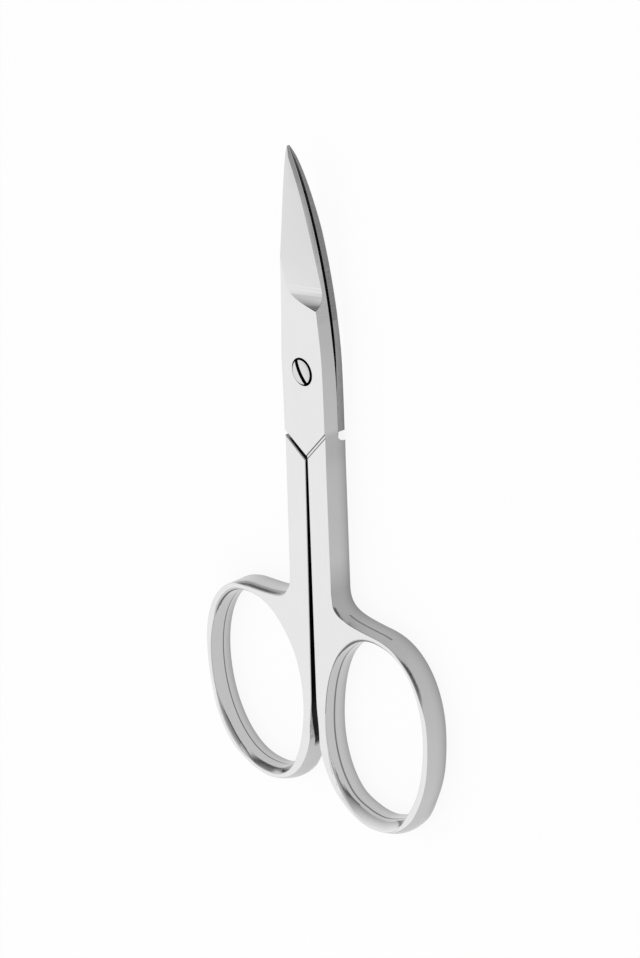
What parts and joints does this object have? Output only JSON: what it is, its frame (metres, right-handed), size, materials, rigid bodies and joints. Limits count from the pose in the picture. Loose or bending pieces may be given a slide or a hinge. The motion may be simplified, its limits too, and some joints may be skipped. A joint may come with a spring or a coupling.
{
  "type": "nail scissors",
  "caption": "Curved nail scissors with oval finger rings: crossing steel halves that open about a slotted pivot screw.",
  "frame": {"origin": "centre of the overall box in X and Y, on the plane that the closed scissors lie on", "axes": "+Z out of the face with the screw's head, +Y towards the tips, +X towards the finger ring of the half that holds the head"},
  "size_m": [0.0434, 0.0924, 0.0049],
  "materials": {
    "back_half_steel": "satin polished",
    "front_half_steel": "satin polished",
    "screw_steel": "satin polished"
  },
  "bodies": {
    "back_body": {"back_half": "back_half_steel", "pivot_screw": "screw_steel"},
    "front_body": {"front_half": "front_half_steel"}
  },
  "joints": [
    {"name": "scissor_pivot", "type": "hinge", "parent": "back_body", "child": "front_body", "pos_m": [0, 0.01597, 0.002], "axis": [0, 0, 1], "range_deg": [0, 105]}
  ]
}
